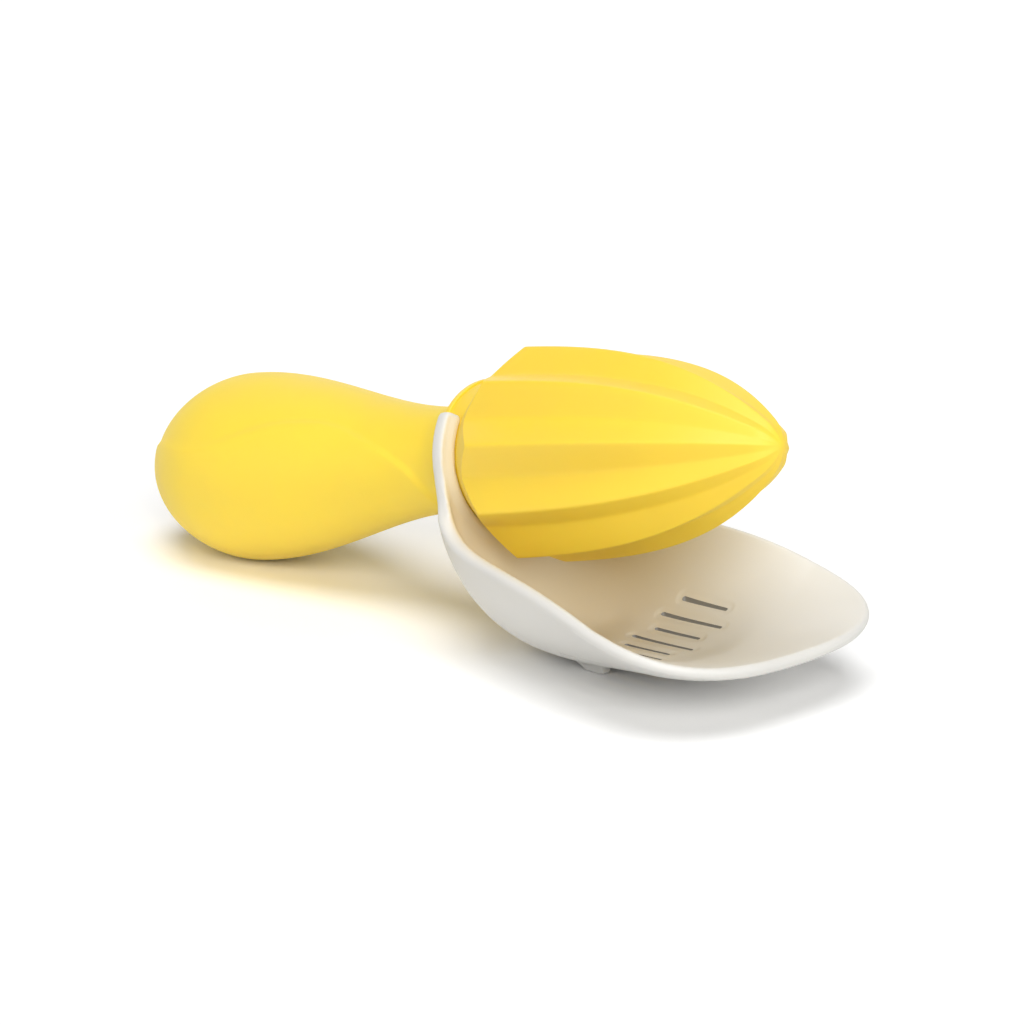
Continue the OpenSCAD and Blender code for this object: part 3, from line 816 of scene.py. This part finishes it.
def slot_tree():
    """Cuts the row of juice slots, short and long by turns; each narrows towards the table."""
    tree, given, result = new_tree("juice_slots", (
        ("Count", "NodeSocketInt"), ("Pitch", "NodeSocketFloat"), ("Short", "NodeSocketFloat"),
        ("Long", "NodeSocketFloat"), ("Width", "NodeSocketFloat"), ("Draft", "NodeSocketFloat"),
        ("Along", "NodeSocketFloat"), ("Drop", "NodeSocketFloat"), ("Floor radius", "NodeSocketFloat"),
        ("Finish", "NodeSocketMaterial")))
    m = Maths(tree)
    lead, depth = CUTTER_LEAD, CUTTER_DEPTH
    width, draft = given.outputs["Width"], given.outputs["Draft"]
    drill = tree.nodes.new("GeometryNodeMeshCone")
    drill.inputs["Vertices"].default_value = 32
    drill.inputs["Depth"].default_value = depth
    tree.links.new(m.add(m.mul(width, 0.5), m.mul(draft, lead)), drill.inputs["Radius Bottom"])
    tree.links.new(m.sub(m.mul(width, 0.5), m.mul(draft, depth - lead)), drill.inputs["Radius Top"])
    own_x, own_y = own_place(tree)
    side = m.node("SIGN", m.add(own_x, 0.00001))

    def cutter(length):
        move = tree.nodes.new("ShaderNodeCombineXYZ")
        tree.links.new(m.mul(side, m.mul(m.sub(length, width), 0.5)), move.inputs["X"])
        stretch = tree.nodes.new("GeometryNodeSetPosition")
        tree.links.new(drill.outputs["Mesh"], stretch.inputs["Geometry"])
        tree.links.new(move.outputs[0], stretch.inputs["Offset"])
        return stretch.outputs[0]

    both = tree.nodes.new("GeometryNodeGeometryToInstance")
    tree.links.new(cutter(given.outputs["Long"]), both.inputs[0])
    tree.links.new(cutter(given.outputs["Short"]), both.inputs[0])
    row = tree.nodes.new("GeometryNodeMeshLine")
    row.mode = "OFFSET"
    tree.links.new(given.outputs["Count"], row.inputs["Count"])
    first = tree.nodes.new("ShaderNodeCombineXYZ")
    tree.links.new(m.sub(given.outputs["Drop"], lead), first.inputs["X"])
    tree.links.new(m.mul(m.sub(given.outputs["Count"], 1.0), given.outputs["Pitch"], -0.5), first.inputs["Y"])
    tree.links.new(given.outputs["Along"], first.inputs["Z"])
    gap = tree.nodes.new("ShaderNodeCombineXYZ")
    tree.links.new(given.outputs["Pitch"], gap.inputs["Y"])
    tree.links.new(first.outputs[0], row.inputs["Start Location"])
    tree.links.new(gap.outputs[0], row.inputs["Offset"])
    bend = given.outputs["Floor radius"]
    rise = m.sub(bend, m.node("SQRT", m.sub(m.mul(bend, bend), m.mul(own_y, own_y))))
    lift = tree.nodes.new("ShaderNodeCombineXYZ")
    tree.links.new(m.mul(rise, -1.0), lift.inputs["X"])
    seat = tree.nodes.new("GeometryNodeSetPosition")
    tree.links.new(row.outputs["Mesh"], seat.inputs["Geometry"])
    tree.links.new(lift.outputs[0], seat.inputs["Offset"])
    index = tree.nodes.new("GeometryNodeInputIndex")
    spread = tree.nodes.new("GeometryNodeInstanceOnPoints")
    spread.inputs["Pick Instance"].default_value = True
    spread.inputs["Rotation"].default_value = (0.0, math.radians(90.0), 0.0)
    tree.links.new(seat.outputs[0], spread.inputs["Points"])
    tree.links.new(both.outputs[0], spread.inputs["Instance"])
    tree.links.new(m.node("MODULO", index.outputs[0], 2.0), spread.inputs["Instance Index"])
    solid = tree.nodes.new("GeometryNodeRealizeInstances")
    tree.links.new(spread.outputs[0], solid.inputs[0])
    cut = tree.nodes.new("GeometryNodeMeshBoolean")
    cut.operation = "DIFFERENCE"
    cut.solver = "EXACT"
    tree.links.new(given.outputs["Geometry"], cut.inputs["Mesh 1"])
    tree.links.new(solid.outputs[0], cut.inputs["Mesh 2"])
    return end_tree(tree, given, result, cut.outputs["Mesh"])


def press_dishes(mesh):
    """Makes the faces round the slots finer, then tips the floor and presses the soft hollows."""
    bm = bmesh.new()
    bm.from_mesh(mesh)
    bm.normal_update()
    reach_y, reach_u = SLOTS_EACH_SIDE * SLOT_PITCH + BED_MARGIN, LONG_SLOT / 2.0 + BED_MARGIN
    bed = [f for f in bm.faces if f.normal.x < INNER_FACING and abs(f.calc_center_median().y) < reach_y
           and abs(f.calc_center_median().z - SLOT_AT) < reach_u]
    edges = list({e for f in bed for e in f.edges})
    bmesh.ops.subdivide_edges(bm, edges=edges, cuts=1, use_grid_fill=True)
    bm.normal_update()
    inside = [(v, v.normal.copy()) for v in bm.verts if v.normal.x < INNER_FACING]
    for v, normal in inside:
        v.co -= normal * (dish_depth(v.co) + floor_tip(v.co))
    bm.to_mesh(mesh)
    bm.free()


def floor_bend():
    """Drop of the scoop's floor at the slots and the radius it curves up with."""
    low, high = 0.3, 1.0
    for _ in range(40):
        t = 0.5 * (low + high)
        low, high = (t, high) if bezier(*FLOOR_RAIL, t)[0] < SLOT_AT else (low, t)
    base, rim, sag, r = bowl_section(t)
    return base[2], r


def mark_painted_bounce(mesh):
    """Marks the inner face for painted yellow bounce light and painted shade from the head, strongest next to the
    clip.
    """
    mark = mesh.attributes.new("painted_bounce_tint", "FLOAT", "POINT")
    for v in mesh.vertices:
        facing = v.normal.dot((SCOOP_MIDDLE - v.co).normalized())
        inside = smooth((facing - TINT_FACING) / TINT_TURN)
        mark.data[v.index].value = inside * smooth((TINT_END - v.co.z) / TINT_FADE)


def mark_slot_shade(mesh):
    """Marks the walls of the slots for painted shade in the strainer's colour."""
    mark = mesh.attributes.new("slot_painted_shade", "FLOAT", "CORNER")
    drop, bend = floor_bend()
    for face in mesh.polygons:
        p = face.center
        k = round(p.y / SLOT_PITCH)
        past_end = max(0.0, abs(p.z - SLOT_AT) - (slot_length(k) - SLOT_W) / 2.0)
        near = math.hypot(p.y - k * SLOT_PITCH, past_end)
        wall = abs(k) <= SLOTS_EACH_SIDE and near < SLOT_W and abs(face.normal.x) < WALL_FACING
        lowest = drop - bend + math.sqrt(max(0.0, bend ** 2 - p.y ** 2)) + WALL_SHADE_DEPTH
        for corner in face.loop_indices:
            depth = mesh.vertices[mesh.loops[corner].vertex_index].co.x
            mark.data[corner].value = 1.0 if wall and depth < lowest else 0.0


def clean_cut(mesh):
    """Closes the hairline slivers that a cut can leave and takes out flaps with no thickness."""
    bm = bmesh.new()
    bm.from_mesh(mesh)
    bmesh.ops.remove_doubles(bm, verts=bm.verts, dist=CUT_GAP)
    bmesh.ops.dissolve_degenerate(bm, edges=bm.edges, dist=CUT_GAP)
    bmesh.ops.triangulate(bm, faces=[f for f in bm.faces if len(f.verts) > 4])
    same = {}
    for face in bm.faces:
        same.setdefault(frozenset(face.verts), []).append(face)
    flaps = [face for faces in same.values() if len(faces) > 1 for face in faces]
    bmesh.ops.delete(bm, geom=flaps, context="FACES_ONLY")
    bmesh.ops.delete(bm, geom=[e for e in bm.edges if not e.link_faces], context="EDGES")
    bmesh.ops.delete(bm, geom=[v for v in bm.verts if not v.link_faces], context="VERTS")
    bm.to_mesh(mesh)
    bm.free()


def strainer():
    parts = (scoop_shell, lambda bm: foot(bm, FOOT_Y), lambda bm: foot(bm, -FOOT_Y))
    shell = melt(parts, MELT_VOXEL, MELT_ROUNDS)
    press_dishes(shell)
    drop, bend = floor_bend()
    mesh = run_tree(slot_tree(), shell, {
        "Count": 2 * SLOTS_EACH_SIDE + 1, "Pitch": SLOT_PITCH, "Short": SHORT_SLOT, "Long": LONG_SLOT,
        "Width": SLOT_W, "Draft": SLOT_DRAFT, "Along": SLOT_AT, "Drop": drop, "Floor radius": bend,
        "Finish": strainer_white})
    clean_cut(mesh)
    mark_painted_bounce(mesh)
    mark_slot_shade(mesh)
    return keep_piece(mesh, "juice_strainer", "strainer", ["strainer"],
                      strainer_white, 35.0)


handle_skin()
spindle()
ridged_head()
strainer()
for name in ("handle_core_left", "handle_core_right"):
    core = frame["nodes"][name]
    core.data.materials.clear()
    core.data.materials.append(core_plastic)


# Floor, light and camera

# Floor colour for bounced light and as it is seen
FLOOR_HALF, FLOOR_PALE, FLOOR_WHITE = 6.0, 0.94, 1.13
SKY_FILL = 0.06
# Lamps: name, strength, then spread, azimuth and elevation in degrees
LAMPS = (
    ("front_softbox", 1.45, 26.0, 50.0, 27.0),
    ("top_softbox", 1.7, 40.0, 40.0, 76.0),
    ("left_card", 0.5, 50.0, -10.0, 10.0),
    ("back_card", 0.35, 50.0, 226.0, 28.0),
    ("right_card", 0.85, 50.0, 92.0, 9.0))
# Camera: direction in degrees, distance and aim off the ring of ridge corners in metres, lens in millimetres
VIEW_AZIMUTH, VIEW_ELEVATION = 46.0, 15.0
VIEW_DISTANCE, AIM_LEFT, AIM_DOWN = 0.57916, 0.007033, 0.01107
SENSOR_W, LENS = 36.0, 105.47


def sight_rays(nodes, links):
    """1 for rays from the camera, off gloss or through clear parts."""
    ray = nodes.new("ShaderNodeLightPath")
    total = ray.outputs["Is Camera Ray"]
    for kind in ("Is Glossy Ray", "Is Transmission Ray"):
        more = nodes.new("ShaderNodeMath")
        more.operation = "MAXIMUM"
        links.new(total, more.inputs[0])
        links.new(ray.outputs[kind], more.inputs[1])
        total = more.outputs[0]
    return total


def floor_sheet():
    mesh = bpy.data.meshes.new("floor")
    corners = [(x * FLOOR_HALF, y * FLOOR_HALF, 0.0) for x, y in ((-1, -1), (1, -1), (1, 1), (-1, 1))]
    mesh.from_pydata(corners, [], [(0, 1, 2, 3)])
    mat = bpy.data.materials.new("pale_floor")
    mat.use_nodes = True
    nodes, links = mat.node_tree.nodes, mat.node_tree.links
    nodes.remove(nodes["Principled BSDF"])
    pale = nodes.new("ShaderNodeBsdfDiffuse")
    pale.inputs["Color"].default_value = (FLOOR_PALE, FLOOR_PALE, FLOOR_PALE, 1.0)
    white = nodes.new("ShaderNodeBsdfDiffuse")
    white.inputs["Color"].default_value = (FLOOR_WHITE, FLOOR_WHITE, FLOOR_WHITE, 1.0)
    seen = nodes.new("ShaderNodeMixShader")
    links.new(sight_rays(nodes, links), seen.inputs["Fac"])
    links.new(pale.outputs[0], seen.inputs[1])
    links.new(white.outputs[0], seen.inputs[2])
    links.new(seen.outputs[0], nodes["Material Output"].inputs["Surface"])
    mesh.materials.append(mat)
    sheet = bpy.data.objects.new("floor", mesh)
    bpy.context.scene.collection.objects.link(sheet)


def way_from(azimuth, elevation):
    """Direction from the object towards a lamp or the camera."""
    level = math.cos(elevation)
    return Vector((math.sin(azimuth) * level, -math.cos(azimuth) * level, math.sin(elevation)))


def soft_key(name, strength, spread, azimuth, elevation):
    """A broad far lamp: the same light over the whole floor, with soft shadow edges."""
    lamp = bpy.data.lights.new(name, "SUN")
    lamp.energy, lamp.angle = strength, math.radians(spread)
    key = bpy.data.objects.new(name, lamp)
    way = way_from(math.radians(azimuth), math.radians(elevation))
    key.location = way
    key.rotation_euler = (-way).to_track_quat("-Z", "Y").to_euler()
    bpy.context.scene.collection.objects.link(key)


def studio_light():
    world = bpy.data.worlds.new("studio")
    world.use_nodes = True
    nodes, links = world.node_tree.nodes, world.node_tree.links
    sky = nodes["Background"]
    sky.inputs["Color"].default_value = (1.0, 1.0, 1.0, 1.0)
    sky.inputs["Strength"].default_value = SKY_FILL
    plain = nodes.new("ShaderNodeBackground")
    plain.inputs["Color"].default_value = (1.0, 1.0, 1.0, 1.0)
    plain.inputs["Strength"].default_value = 1.0
    mix = nodes.new("ShaderNodeMixShader")
    links.new(sight_rays(nodes, links), mix.inputs["Fac"])
    links.new(sky.outputs[0], mix.inputs[1])
    links.new(plain.outputs[0], mix.inputs[2])
    links.new(mix.outputs[0], nodes["World Output"].inputs["Surface"])
    bpy.context.scene.world = world
    for lamp in LAMPS:
        soft_key(*lamp)


def photo_camera():
    azimuth, elevation = math.radians(VIEW_AZIMUTH), math.radians(VIEW_ELEVATION)
    right = Vector((math.cos(azimuth), math.sin(azimuth), 0.0))
    back = way_from(azimuth, elevation)
    up = back.cross(right)
    ring = butt + axis_dir * (RIDGE_AT * MM)
    aim = ring - right * AIM_LEFT - up * AIM_DOWN
    lens = bpy.data.cameras.new("photo_camera")
    lens.sensor_width, lens.lens = SENSOR_W, LENS
    lens.clip_start, lens.clip_end = 0.01, 50.0
    camera = bpy.data.objects.new("photo_camera", lens)
    turned = Matrix((right, up, back)).transposed().to_4x4()
    camera.matrix_world = Matrix.Translation(aim + back * VIEW_DISTANCE) @ turned
    bpy.context.scene.collection.objects.link(camera)
    bpy.context.scene.camera = camera


floor_sheet()
studio_light()
photo_camera()
bpy.context.scene.view_settings.view_transform = "Standard"
